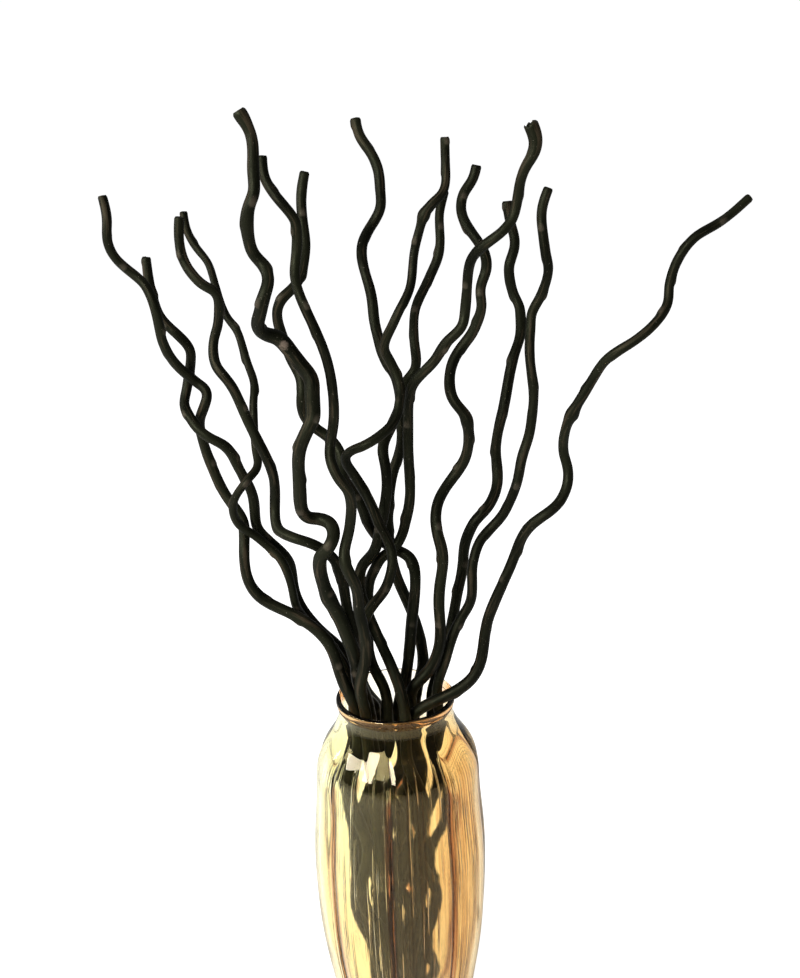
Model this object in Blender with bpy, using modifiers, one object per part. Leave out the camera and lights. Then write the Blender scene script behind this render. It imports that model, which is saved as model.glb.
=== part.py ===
"""Curly willow stems standing in a lobed amber glass vase.

Fifteen corkscrew willow branches, dried and dyed black, stand loose in a
blown glass vase. The script models each branch and the vase as its own
closed piece. Units are metres with +Z up, the origin is the middle of the
vase's flat underside, and the front of the arrangement looks along -Y.
Tables are written in millimetres.

The branches were drawn from the front, on a board that stands square to the
eye. Each route lists points on that board, across and up from the middle of
the vase's mouth. Every point then slides along its own sight line to its
depth, so the drawing stays true from the front while the bunch fans out in
depth. The branches are then eased apart where they would touch.
"""

import math

import bmesh
import bpy
import numpy as np

MM = 0.001

# Vase
VASE_HEIGHT = 292.5
FLOOR_HEIGHT = 9.0
WALL = 4.0
LIP_OUTER_RADIUS = 45.0
NECK_RADIUS = 43.3
BODY_RADIUS = 68.3
BASE_RADIUS = 37.0
LOBE_COUNT = 8
STEPS_PER_LOBE = 6
LOBE_TURN = math.radians(-7.0)
LOBE_DEPTH = 0.05
LOBE_TOP = 234.0
LOBE_FADE = 45.0
LOBE_ROUNDNESS = 0.7
FOOT_LOBE_SHARE = 0.25

# Outside of the vase from the lip to the foot, as radius and height
VASE_OUTSIDE = (
    (43.9, VASE_HEIGHT), (LIP_OUTER_RADIUS, 291.1), (44.9, 288.9), (43.9, 285.5),
    (NECK_RADIUS, 280.5), (44.0, 276.4), (45.8, 271.9), (48.8, 264.9), (52.8, 258.4),
    (57.3, 250.9), (61.0, 242.3), (62.8, 231.3), (64.5, 212.2), (66.8, 188.1),
    (BODY_RADIUS, 159.0), (68.0, 133.6), (66.8, 108.0), (64.2, 82.5), (60.2, 58.0),
    (56.0, 34.0), (52.5, 19.0), (46.8, 8.0), (41.0, 1.6), (BASE_RADIUS, 0.0),
)
# Inside of the vase's foot, from the middle of the floor outwards
VASE_FLOOR = ((0.0, FLOOR_HEIGHT), (36.5, FLOOR_HEIGHT), (43.0, 12.5), (48.0, 21.0))
INSIDE_FROM = 34.0
LIP_INNER = ((40.6, 288.9), (40.9, 291.1), (42.0, VASE_HEIGHT))
LIP_ROLL = 1.0

# The eye that the routes were drawn from, and the board they were drawn on
EYE = np.array([8.8, -755.0, 683.0])
EYE_PITCH = math.radians(16.8)
EYE_ROLL = math.radians(1.9)
BOARD_DISTANCE = 825.0
BOARD_ORIGIN_ACROSS = -3.5
BOARD_ORIGIN_UP = -156.0
ROUTE_SHIFT = (-0.3, -1.5)

# Colours and finishes
GLASS_COLOUR = (0.93, 0.68, 0.30)
GLASS_ROUGHNESS = 0.08
GLASS_CLEARNESS = 0.9
BARK_COLOUR = (0.022, 0.022, 0.015)
BARK_ROUGHNESS = 0.55

# Branches
TUBE_SIDES_RESOLUTION = 2
FULLNESS = 1.05
CURVE_STEP = 2.0
RING_SPACING = 28.0
RING_TURN = math.radians(34.0)
ROUTE_SMOOTHING = 1.8
FOOT_GAP = 0.3
STEM_GAP = 1.6
WALL_GAP = 1.3
NECK_WINDOW = (-14.0, -7.0, 0.0, 7.0, 14.0)
LIP_GAP = 3.4
LIP_ZONE = 8.0
LIP_STEP = 1.5
LEAST_RISE = 0.4
LIP_MIDDLE_DROP = 2.5
LIP_MIDDLE = (42.9, VASE_HEIGHT - LIP_MIDDLE_DROP)
DEPTH_SMOOTHING = 30.0
CURL_DEPTH = 20.0
CURL_FADE = 120.0
CURL_SMOOTHING = 45.0
WAVE_SMOOTHING = 10.0
BUNCH_TWIST = math.radians(62.0)
BUNCH_FOOT_SPREAD = 0.78
BUNCH_BULGE = 0.45
BULGE_EASE = 1.5
INSIDE_STEPS = 15
INSIDE_WAVE = 5.5
WAVE_TURNS = 20.0
WAVE_EASE = 0.6
WAVE_START = 1.7
WAVE_AIM = 2.4

# Easing the branches apart
EASE_ROUNDS = 600
NEAR_DISTANCE = 45.0
NEAR_REFRESH = 15
PUSH_LIMIT = 6.0
LEAST_WEIGHT = 0.6
SETTLE = 0.35
SETTLE_EASE = 1.5

# For each branch: width at the tip and at the mouth as drawn, which way it
# curls, its depth at five places from tip to mouth, and its route on the
# board from the tip down
STEMS = {
    "stem_01": dict(widths=(6.6, 8.3), curl=1, depths=(-35, -30, 2, -26, -10), route=(
        (-220, 376), (-217, 368), (-216, 358), (-216, 346), (-212, 334), (-203, 324),
        (-194, 317), (-188, 311), (-184, 304), (-179, 290), (-176, 274), (-172, 263),
        (-166, 253), (-157, 244), (-148, 237), (-141, 230), (-143, 219), (-146, 212),
        (-146, 202), (-142, 187), (-136, 172), (-130, 158), (-122, 146), (-115, 136),
        (-113, 126), (-113, 106), (-111, 92), (-106, 82), (-98, 74), (-86, 68),
        (-74, 62), (-63, 55), (-55, 48), (-48, 39), (-44, 27), (-40, 16), (-36, 7),
        (-31, -2))),
    "stem_02": dict(widths=(6.8, 7.6), curl=-1, depths=(5, 5, 4, 6, 10), route=(
        (-187, 330), (-186, 320), (-182, 304), (-178, 290), (-171, 281), (-162, 272),
        (-156, 266), (-153, 259), (-154, 246), (-156, 233), (-158, 221), (-154, 212),
        (-148, 203), (-139, 196), (-128, 190), (-122, 183), (-116, 171), (-110, 161),
        (-106, 149), (-105, 138), (-103, 128), (-96, 120), (-85, 110), (-79, 102),
        (-77, 91), (-75, 80), (-70, 69), (-63, 59), (-54, 50), (-45, 42), (-38, 35),
        (-34, 26), (-33, 16), (-32, 5))),
    "stem_03": dict(widths=(5.4, 6.2), curl=1, depths=(80, 34, -14, -6, 0), route=(
        (-159, 364), (-158, 358), (-156, 352), (-150, 340), (-142, 330), (-138, 322),
        (-135, 311), (-128, 290), (-119, 277), (-114, 263), (-110, 250), (-106, 240),
        (-106, 226), (-106, 210), (-105, 197), (-104, 184), (-103, 174), (-110, 165),
        (-116, 157), (-121, 148), (-121, 138), (-115, 129), (-107, 124), (-97, 116),
        (-89, 109), (-83, 100), (-79, 90), (-76, 78), (-73, 67), (-64, 56),
        (-55, 48), (-46, 38), (-39, 28), (-35, 16), (-32, 6))),
    "stem_04": dict(widths=(6.9, 7.8), curl=-1, depths=(-50, -38, -30, -26, 5), route=(
        (-162, 360), (-162, 346), (-160, 334), (-156, 324), (-148, 314), (-140, 308),
        (-134, 304), (-132, 291), (-133, 280), (-136, 268), (-136, 258), (-133, 248),
        (-124, 237), (-118, 226), (-112, 212), (-105, 198), (-98, 184), (-92, 171),
        (-90, 156), (-90, 140), (-88, 128), (-79, 122), (-64, 117), (-54, 112),
        (-46, 105), (-41, 95), (-38, 82), (-37, 72), (-34, 62), (-31, 43), (-29, 27),
        (-27, 14), (-23, 3), (-15, -5))),
    "stem_05": dict(widths=(8.2, 9.9), curl=1, depths=(-95, -85, -62, -46, -6), route=(
        (-118, 440), (-112, 430), (-107, 420), (-107, 406), (-106, 391), (-106, 379),
        (-110, 368), (-111, 358), (-110, 346), (-106, 334), (-98, 324), (-95, 314),
        (-98, 302), (-101, 290), (-103, 280), (-98, 274), (-88, 271), (-80, 263),
        (-70, 250), (-63, 240), (-62, 226), (-62, 210), (-68, 197), (-72, 184),
        (-72, 169), (-71, 152), (-70, 142), (-65, 136), (-56, 135), (-48, 131),
        (-46, 122), (-50, 113), (-56, 106), (-56, 95), (-53, 85), (-48, 72),
        (-42, 62), (-37, 50), (-32, 38), (-28, 24), (-26, 9))),
    "stem_06": dict(widths=(7.1, 8.2), curl=-1, depths=(-55, -72, -60, -52, -16), route=(
        (-100, 406), (-99, 396), (-95, 385), (-88, 376), (-80, 366), (-74, 356),
        (-74, 344), (-74, 332), (-75, 316), (-70, 299), (-63, 284), (-56, 268),
        (-51, 254), (-48, 239), (-46, 224), (-46, 208), (-48, 194), (-49, 184),
        (-46, 172), (-40, 162), (-34, 154), (-33, 141), (-34, 128), (-37, 115),
        (-38, 104), (-33, 92), (-28, 80), (-27, 66), (-24, 53), (-22, 40), (-22, 28),
        (-25, 16), (-26, 6), (-25, -3))),
    "stem_07": dict(widths=(7.0, 8.0), curl=1, depths=(45, 0, 0, 4, 6), route=(
        (-68, 394), (-70, 385), (-70, 372), (-69, 358), (-68, 346), (-67, 336),
        (-69, 324), (-74, 311), (-83, 302), (-88, 293), (-88, 284), (-86, 277),
        (-82, 265), (-76, 251), (-70, 239), (-70, 226), (-69, 215), (-64, 207),
        (-58, 202), (-51, 197), (-45, 191), (-41, 184), (-40, 176), (-38, 164),
        (-32, 157), (-26, 148), (-22, 136), (-16, 125), (-8, 117), (-1, 113), (5, 110),
        (12, 105), (15, 95), (15, 82), (14, 70), (12, 53), (11, 38), (9, 23), (7, 13),
        (4, 2))),
    "stem_08": dict(widths=(7.2, 7.9), curl=-1, depths=(75, 40, 8, -2, -27), route=(
        (-30, 434), (-28, 426), (-22, 415), (-16, 406), (-12, 394), (-11, 382),
        (-11, 368), (-17, 356), (-23, 346), (-25, 334), (-23, 322), (-18, 304),
        (-15, 281), (-12, 268), (-7, 254), (0, 243), (3, 233), (4, 224), (2, 215),
        (-4, 202), (-9, 189), (-7, 173), (-6, 163), (-7, 148), (-10, 134), (-12, 124),
        (-14, 114), (-20, 105), (-25, 99), (-27, 89), (-26, 80), (-23, 71),
        (-19, 62), (-14, 49), (-7, 34), (0, 19), (4, 4), (8, -13))),
    "stem_09": dict(widths=(6.4, 7.6), curl=1, depths=(-10, -14, -20, -26, 20), route=(
        (37, 420), (38, 410), (38, 398), (38, 388), (36, 380), (30, 374), (25, 368),
        (21, 362), (19, 354), (16, 343), (14, 332), (13, 320), (12, 310), (6, 297),
        (-2, 280), (-7, 269), (-8, 262), (-4, 254), (1, 243), (4, 233), (3, 220),
        (0, 209), (-7, 201), (-16, 194), (-28, 188), (-36, 184), (-37, 178), (-34, 173),
        (-30, 167), (-22, 154), (-16, 142), (-11, 130), (-5, 118), (-2, 107), (-3, 95),
        (-7, 83), (-13, 75), (-18, 68), (-23, 59), (-26, 45), (-27, 30), (-25, 15),
        (-18, 1), (-10, -8))),
    "stem_10": dict(widths=(6.4, 8.0), curl=-1, depths=(105, 60, 30, 24, 20), route=(
        (37, 380), (34, 368), (33, 356), (34, 346), (33, 334), (29, 323), (22, 308),
        (16, 295), (14, 277), (15, 264), (16, 254), (14, 245), (8, 238), (6, 229),
        (4, 215), (5, 199), (2, 180), (-3, 164), (-5, 142), (-5, 125), (-3, 110),
        (1, 93), (5, 82), (10, 72), (14, 62), (17, 52), (20, 40), (21, 29), (20, 19),
        (16, 7))),
    "stem_11": dict(widths=(7.2, 7.6), curl=1, depths=(-80, -45, -10, -2, -10), route=(
        (101, 431), (105, 421), (105, 412), (100, 403), (96, 393), (93, 383),
        (91, 370), (88, 360), (81, 351), (72, 344), (63, 337), (57, 329), (55, 320),
        (54, 308), (53, 294), (50, 279), (40, 269), (34, 260), (26, 249), (17, 241),
        (12, 232), (10, 220), (10, 211), (10, 186), (11, 167), (11, 148), (8, 133),
        (4, 120), (-2, 112), (-8, 108), (-13, 101), (-18, 92), (-20, 80), (-20, 69),
        (-20, 54), (-20, 39), (-17, 28), (-13, 17), (-8, 8), (-6, -2), (-6, -14))),
    "stem_12": dict(widths=(7.1, 8.2), curl=-1, depths=(45, 15, 22, 0, -4), route=(
        (61, 399), (59, 391), (53, 382), (50, 373), (50, 364), (56, 352), (63, 342),
        (68, 332), (68, 320), (64, 308), (65, 295), (60, 278), (53, 268), (46, 258),
        (42, 248), (41, 236), (44, 224), (52, 214), (55, 203), (55, 190), (51, 177),
        (42, 164), (34, 152), (31, 140), (31, 128), (34, 117), (36, 106), (35, 93),
        (33, 80), (33, 70), (34, 58), (34, 46), (32, 35), (28, 26), (22, 17),
        (15, 11), (12, 4))),
    "stem_13": dict(widths=(7.0, 7.8), curl=1, depths=(100, 80, 52, 26, 14), route=(
        (84, 372), (85, 364), (88, 352), (90, 340), (86, 327), (86, 315), (89, 304),
        (94, 292), (94, 284), (94, 273), (90, 260), (86, 243), (83, 228), (80, 211),
        (76, 194), (76, 180), (77, 166), (75, 154), (68, 142), (59, 132), (55, 123),
        (52, 114), (51, 101), (49, 88), (46, 76), (44, 64), (42, 52), (39, 39),
        (35, 27), (32, 16), (28, 5))),
    "stem_14": dict(widths=(6.9, 7.2), curl=-1, depths=(-5, 12, 10, 8, 2), route=(
        (115, 382), (111, 371), (110, 362), (111, 350), (112, 338), (115, 327),
        (114, 317), (111, 306), (106, 296), (102, 287), (102, 277), (101, 263),
        (102, 248), (104, 233), (103, 218), (102, 203), (98, 190), (94, 176),
        (92, 164), (87, 150), (80, 137), (70, 126), (63, 117), (60, 108), (58, 98),
        (58, 85), (57, 74), (53, 66), (48, 58), (44, 49), (40, 38), (37, 26),
        (34, 16), (31, 5))),
    "stem_15": dict(widths=(6.4, 8.2), curl=1, depths=(-40, -62, -30, -22, -15), route=(
        (266, 375), (256, 368), (245, 358), (230, 350), (219, 340), (211, 327),
        (206, 312), (205, 299), (200, 288), (187, 274), (174, 265), (159, 255),
        (149, 241), (140, 226), (132, 213), (128, 201), (126, 188), (129, 176),
        (130, 166), (127, 154), (119, 143), (108, 135), (99, 127), (93, 116),
        (87, 100), (80, 85), (74, 71), (69, 57), (67, 44), (65, 32), (61, 20),
        (52, 10), (41, 4), (29, -2), (19, -7), (12, -14))),
}

# Where two branches cross: the nearer one, the farther one, and the place
CROSSINGS = (
    (1, 2, -176, 279), (1, 2, -154, 244), (2, 1, -148, 203), (3, 1, -121, 146),
    (3, 2, -110, 160), (3, 2, -105, 125), (3, 2, -72, 75), (3, 2, -36, 22),
    (1, 2, -56, 49), (1, 3, -56, 49), (1, 2, -38, 20), (1, 3, -40, 20),
    (4, 3, -135, 305), (4, 3, -106, 197), (5, 4, -51, 112), (5, 4, -38, 65),
    (5, 4, -28, 22), (5, 7, -86, 275), (5, 7, -68, 208), (6, 7, -74, 316),
    (6, 7, -48, 194), (6, 7, -36, 160), (6, 9, -38, 174), (6, 9, -23, 60),
    (6, 4, -37, 84), (6, 5, -32, 43), (6, 5, -26, 18), (6, 8, -25, 80),
    (6, 11, -20, 65), (9, 7, -40, 180), (9, 7, -15, 136), (9, 7, -7, 115),
    (9, 8, -4, 249), (9, 8, -11, 129), (9, 8, -21, 64), (9, 10, 37, 380),
    (9, 10, 5, 226), (9, 10, -4, 112), (9, 11, -2, 114), (9, 11, -20, 66),
    (4, 9, -28, 28), (8, 11, -20, 100), (8, 10, -5, 150), (8, 7, 2, 12),
    (11, 10, 9, 238), (7, 10, 8, 60), (11, 12, 62, 339), (11, 13, 88, 362),
    (14, 13, 98, 279), (14, 13, 56, 95), (14, 13, 41, 52), (12, 13, 41, 54),
    (12, 14, 41, 54), (15, 13, 34, 2), (15, 14, 38, 5), (15, 12, 14, -2),
    (8, 15, 9, -12),
)
CROSSING_REACH = 30.0


def sight_axes():
    """The eye's forward, right and up directions."""
    forward = np.array([0.0, math.cos(EYE_PITCH), -math.sin(EYE_PITCH)])
    level = np.array([1.0, 0.0, 0.0])
    plumb = np.cross(level, forward)
    right = math.cos(EYE_ROLL) * level - math.sin(EYE_ROLL) * plumb
    up = math.sin(EYE_ROLL) * level + math.cos(EYE_ROLL) * plumb
    return forward, right, up


FORWARD, RIGHT, UP = sight_axes()


def from_board(across_up, depth):
    """Slides board points along their sight lines to the given depths."""
    across = across_up[:, 0] + BOARD_ORIGIN_ACROSS
    up = across_up[:, 1] + BOARD_ORIGIN_UP
    rays = FORWARD * BOARD_DISTANCE + across[:, None] * RIGHT + up[:, None] * UP
    reach = (depth - EYE[1]) / rays[:, 1]
    return EYE + rays * reach[:, None], rays / np.linalg.norm(rays, axis=1)[:, None]


def on_board(points):
    """Where points are seen on the board."""
    rays = points - EYE
    rays = rays * (BOARD_DISTANCE / (rays @ FORWARD))[:, None]
    return np.stack([rays @ RIGHT - BOARD_ORIGIN_ACROSS, rays @ UP - BOARD_ORIGIN_UP], 1)


def smooth_curve(points):
    """A smooth curve through the points, in short even steps."""
    points = np.asarray(points, float)
    first = 2 * points[0] - points[1]
    last = 2 * points[-1] - points[-2]
    knots = np.vstack([first, points, last])
    spans = []
    for a, b, c, d in zip(knots, knots[1:], knots[2:], knots[3:]):
        count = max(2, int(np.linalg.norm(c - b) / CURVE_STEP) + 1)
        t = np.linspace(0.0, 1.0, count, endpoint=False)[:, None]
        spans.append(0.5 * (2 * b + (c - a) * t + (2 * a - 5 * b + 4 * c - d) * t ** 2
                            + (3 * b - a - 3 * c + d) * t ** 3))
    return np.vstack(spans + [points[-1:]])


def along(points):
    """Distance along a line of points."""
    steps = np.linalg.norm(np.diff(points, axis=0), axis=1)
    return np.concatenate([[0.0], np.cumsum(steps)])


def blur(values, distance, width):
    """Running average of values along a line, with a bell-shaped weight."""
    weight = np.exp(-0.5 * ((distance[:, None] - distance[None, :]) / width) ** 2)
    weight /= weight.sum(axis=1)[:, None]
    return weight @ values


def thin_out(points):
    """Keeps the points that the shape needs, closer together in tight bends."""
    distance = along(points)
    heading = np.diff(points, axis=0)
    heading /= np.linalg.norm(heading, axis=1)[:, None]
    turn = np.arccos(np.clip((heading[1:] * heading[:-1]).sum(axis=1), -1.0, 1.0))
    turned = np.concatenate([[0.0, 0.0], np.cumsum(turn)])
    measure = distance / RING_SPACING + turned / RING_TURN
    count = int(round(measure[-1]))
    marks = np.interp(np.linspace(0.0, measure[-1], count + 1), measure, distance)
    return np.stack([np.interp(marks, distance, points[:, i]) for i in range(points.shape[1])], 1)


def curl_depth(route, hand):
    """Depth that makes a branch's waves into a loose helix."""
    distance = along(route)
    middle = blur(route, distance, CURL_SMOOTHING)
    heading = np.gradient(middle, distance, axis=0)
    side = np.stack([-heading[:, 1], heading[:, 0]], 1)
    wave = ((route - middle) * side).sum(axis=1)
    return hand * CURL_DEPTH * np.gradient(blur(wave, distance, WAVE_SMOOTHING), distance)


def inside_radius(height, profile):
    """Radius of a turned surface at the given heights."""
    radius, level = np.array(profile).T
    order = np.argsort(level)
    return np.interp(height, level[order], radius[order])


def inner_profile():
    """Inside of the vase from the middle of its floor up to the lip."""
    wall = [(radius - WALL, height) for radius, height in reversed(VASE_OUTSIDE)
            if INSIDE_FROM <= height < LIP_INNER[0][1] - LIP_ROLL]
    return list(VASE_FLOOR) + wall + list(LIP_INNER)


def lobe_strength(height):
    """How deep the vase's creases are at a height, from 0 to 1."""
    top = np.clip((LOBE_TOP - height) / LOBE_FADE, 0.0, 1.0)
    foot = np.clip(height / LOBE_FADE, 0.0, 1.0)
    rise = FOOT_LOBE_SHARE + (1 - FOOT_LOBE_SHARE) * np.sin(foot * math.pi / 2)
    return np.sin(top * math.pi / 2) * rise


def inside_the_vase(start, turn):
    """A branch's hidden part, from the mouth round the vase to its floor."""
    top = start[2]
    foot = FLOOR_HEIGHT + FOOT_GAP
    share = np.linspace(0.0, 1.0, INSIDE_STEPS)[1:]
    spread = (1 - share) + BUNCH_FOOT_SPREAD * share * np.exp(1j * BUNCH_TWIST)
    spread = spread * (1 + BUNCH_BULGE * np.sin(math.pi * share) ** BULGE_EASE)
    place = spread * complex(start[0], start[1])
    wave = INSIDE_WAVE * np.sin(share * WAVE_TURNS + turn)
    wave = wave * np.maximum(np.sin(math.pi * share), 0.0) ** WAVE_EASE
    place = place + wave * np.exp(1j * turn * WAVE_AIM)
    return np.stack([place.real, place.imag, top + (foot - top) * share], 1)


def first_lines():
    """Each branch as rings' middles, free directions and radii."""
    lines = []
    for number, stem in enumerate(STEMS.values()):
        drawn = np.array(stem["route"], float)
        drawn[1:] += ROUTE_SHIFT
        route = smooth_curve(drawn)
        eased = blur(route, along(route), ROUTE_SMOOTHING)
        route = np.vstack([route[:1], eased[2:-2], route[-1:]])
        distance = along(route)
        marks = np.linspace(0.0, distance[-1], len(stem["depths"]))
        depth = blur(np.interp(distance, marks, stem["depths"]), distance, DEPTH_SMOOTHING)
        fade = np.clip((distance[-1] - distance) / CURL_FADE, 0.0, 1.0)
        depth = depth + fade * curl_depth(route, stem["curl"])
        depth += (stem["depths"][-1] - depth[-1]) * (1 - fade) ** 2
        seen, _ = from_board(route, depth)
        whole = np.vstack([seen, smooth_curve(np.vstack([seen[-1:],
                          inside_the_vase(seen[-1], WAVE_START * number)]))[1:]])
        tip_share = along(whole) / along(seen)[-1]
        kept = thin_out(np.column_stack([whole, tip_share]))
        points = kept[:, :3]
        share = np.clip(kept[:, 3], 0.0, 1.0)
        outside = kept[:, 3] <= 1.0
        rays = points - EYE
        far = rays @ FORWARD / BOARD_DISTANCE
        width = np.interp(share, (0.0, 1.0), stem["widths"])
        radius = 0.5 * FULLNESS * width * np.where(outside, far, far[outside][-1])
        points[-1, 2] = FLOOR_HEIGHT + FOOT_GAP
        points[-2, :2] = points[-1, :2]
        lines.append(dict(points=points, ray=rays / np.linalg.norm(rays, axis=1)[:, None],
                          outside=outside, radius=radius))
    return lines


def closest(a0, a1, b0, b1):
    """Shares along two lists of segments where they come closest."""
    d1, d2, r = a1 - a0, b1 - b0, a0 - b0
    a, e = (d1 * d1).sum(1), (d2 * d2).sum(1)
    b, c, f = (d1 * d2).sum(1), (d1 * r).sum(1), (d2 * r).sum(1)
    spare = np.maximum(a * e - b * b, 1e-9)
    s = np.clip((b * f - c * e) / spare, 0.0, 1.0)
    t = np.clip((b * s + f) / e, 0.0, 1.0)
    s = np.clip((b * t - c) / a, 0.0, 1.0)
    return s, t


def nearer_sign(stem_a, stem_b, place, current):
    """+1 where a lies behind b, from the listed crossings or as it is now."""
    sign = np.where(current >= 0, 1.0, -1.0)
    best = np.full(len(sign), CROSSING_REACH)
    for front, back, across, up in CROSSINGS:
        gap = np.hypot(place[:, 0] - across, place[:, 1] - up)
        for first, second, value in ((front, back, -1.0), (back, front, 1.0)):
            hit = (stem_a == first - 1) & (stem_b == second - 1) & (gap < best)
            sign[hit] = value
            best[hit] = gap[hit]
    return sign


def ease_apart(lines):
    """Moves branches clear of each other, the lip and the vase's wall.

    Above the mouth a point moves only along its sight line, and inside the
    vase it moves level. The moves are smoothed along each branch.
    """
    points = np.vstack([line["points"] for line in lines])
    ray = np.vstack([line["ray"] for line in lines])
    outside = np.concatenate([line["outside"] for line in lines])
    radius = np.concatenate([line["radius"] for line in lines])
    owner = np.concatenate([np.full(len(line["points"]), i) for i, line in enumerate(lines)])
    start = points.copy()
    first = np.nonzero(owner[1:] == owner[:-1])[0]
    pair_a, pair_b = np.triu_indices(len(first), 1)
    apart = owner[first[pair_a]] != owner[first[pair_b]]
    pair_a, pair_b = first[pair_a[apart]], first[pair_b[apart]]
    wall = np.array(inner_profile()[len(VASE_FLOOR) - 1:])

    for turn in range(EASE_ROUNDS):
        if turn % NEAR_REFRESH == 0:
            middle = 0.5 * (points[pair_a] + points[pair_a + 1])
            other = 0.5 * (points[pair_b] + points[pair_b + 1])
            near = np.linalg.norm(middle - other, axis=1) < NEAR_DISTANCE
            near_a, near_b = pair_a[near], pair_b[near]
        s, t = closest(points[near_a], points[near_a + 1], points[near_b], points[near_b + 1])
        s, t = s[:, None], t[:, None]
        on_a = points[near_a] * (1 - s) + points[near_a + 1] * s
        on_b = points[near_b] * (1 - t) + points[near_b + 1] * t
        need = (radius[near_a] + radius[near_b]) + STEM_GAP
        gap = on_a - on_b
        seen = outside[near_a] & outside[near_b]
        line = ray[near_a]
        depth = (gap * line).sum(1)
        aside = np.maximum((gap * gap).sum(1) - depth * depth, 0.0)
        touch = aside < need * need
        wanted = np.sqrt(np.maximum(need * need - aside, 0.0))
        sign = nearer_sign(owner[near_a], owner[near_b], on_board(0.5 * (on_a + on_b)), depth)
        push = np.where(touch & seen, np.maximum(wanted - sign * depth, 0.0), 0.0)
        push = np.minimum(push, PUSH_LIMIT)[:, None] * (sign[:, None] * line)
        level = gap.copy()
        level[:, 2] = 0.0
        size = np.linalg.norm(gap, axis=1)
        level /= np.maximum(np.linalg.norm(level, axis=1), 1e-6)[:, None]
        deep = ~seen
        push[deep] = (np.maximum(need - size, 0.0)[:, None] * level)[deep]

        move = np.zeros_like(points)
        weight = np.full(len(points), 1e-9)
        for index, share, way in ((near_a, 1 - s, 1), (near_a + 1, s, 1),
                                  (near_b, 1 - t, -1), (near_b + 1, t, -1)):
            active = np.linalg.norm(push, axis=1) > 1e-9
            np.add.at(move, index[active], (0.5 * way * share * push)[active])
            np.add.at(weight, index[active], share[active, 0])
        points = points + move / np.maximum(weight, LEAST_WEIGHT)[:, None]

        ring = np.linalg.norm(points[:, :2], axis=1)
        room = np.min([inside_radius(points[:, 2] + shift, wall) for shift in NECK_WINDOW], axis=0)
        room = room * (1 - LOBE_DEPTH * lobe_strength(points[:, 2])) - radius - WALL_GAP
        over = (ring > room) & (points[:, 2] < VASE_HEIGHT - LIP_ROLL)
        points[over, :2] *= (room[over] / ring[over])[:, None]

        lip = np.stack([ring - LIP_MIDDLE[0], points[:, 2] - LIP_MIDDLE[1]], 1)
        clear = np.linalg.norm(lip, axis=1)
        swell = (points * ray)[:, :2].sum(1) / np.maximum(ring, 1.0)
        rise = (lip[:, 0] * swell + lip[:, 1] * ray[:, 2]) / np.maximum(clear, 0.1)
        rise = np.sign(rise) * np.maximum(np.abs(rise), LEAST_RISE)
        short = np.clip(radius + LIP_GAP - clear, 0.0, LIP_STEP)
        short[(points[:, 2] < VASE_HEIGHT - LIP_ZONE) | ~outside] = 0.0
        points += ray * (short / rise)[:, None]

        settle = SETTLE * (1 - turn / EASE_ROUNDS) ** SETTLE_EASE
        drift = points - start
        inner = np.nonzero((owner[2:] == owner[:-2]))[0] + 1
        mean = 0.5 * (drift[inner - 1] + drift[inner + 1])
        drift[inner] += settle * (mean - drift[inner])
        points = start + drift
        along_ray = ((points - start) * ray).sum(1)[:, None] * ray
        points = np.where(outside[:, None], start + along_ray, points)
        points[:, 2] = np.where(outside, points[:, 2], start[:, 2])
        ends = np.nonzero(np.append(owner[1:] != owner[:-1], True))[0]
        points[ends - 1, :2] = points[ends, :2]

    for index, line in enumerate(lines):
        line["points"] = points[owner == index]
    return lines


def colour_material(name, colour, roughness, transmission=0.0):
    """A plain material in the part's colour."""
    material = bpy.data.materials.new(name)
    material.use_nodes = True
    shader = material.node_tree.nodes["Principled BSDF"]
    shader.inputs["Base Color"].default_value = (*colour, 1.0)
    shader.inputs["Roughness"].default_value = roughness
    shader.inputs["Metallic"].default_value = 0.0
    shader.inputs["Transmission Weight"].default_value = transmission
    return material


def make_stem(name, line, material, collection):
    """One branch: a tube along its own line, cut square at both ends."""
    curve = bpy.data.curves.new(name, "CURVE")
    curve.dimensions = "3D"
    curve.bevel_depth = 1.0
    curve.bevel_resolution = TUBE_SIDES_RESOLUTION
    curve.use_fill_caps = True
    spline = curve.splines.new("POLY")
    spline.points.add(len(line["points"]) - 1)
    for point, place, radius in zip(spline.points, line["points"] * MM, line["radius"] * MM):
        point.co = (*place, 1.0)
        point.radius = radius
    curve.materials.append(material)
    collection.objects.link(bpy.data.objects.new(name, curve))


def turned_vase(name, steps):
    """The vase's round shell: floor, inner wall, lip, outer wall and foot."""
    profile = inner_profile() + list(VASE_OUTSIDE) + [(0.0, 0.0)]
    mesh = bpy.data.meshes.new(name)
    verts = [(radius * MM, 0.0, height * MM) for radius, height in profile]
    mesh.from_pydata(verts, [(i, i + 1) for i in range(len(verts) - 1)], [])
    shell = bpy.data.objects.new(name, mesh)
    bpy.context.scene.collection.objects.link(shell)
    screw = shell.modifiers.new("Turn", "SCREW")
    screw.axis = "Z"
    screw.steps = screw.render_steps = steps
    screw.use_merge_vertices = True
    screw.merge_threshold = 0.00001
    turned = bpy.data.meshes.new_from_object(
        shell.evaluated_get(bpy.context.evaluated_depsgraph_get()))
    bpy.data.objects.remove(shell)
    return turned


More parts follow.
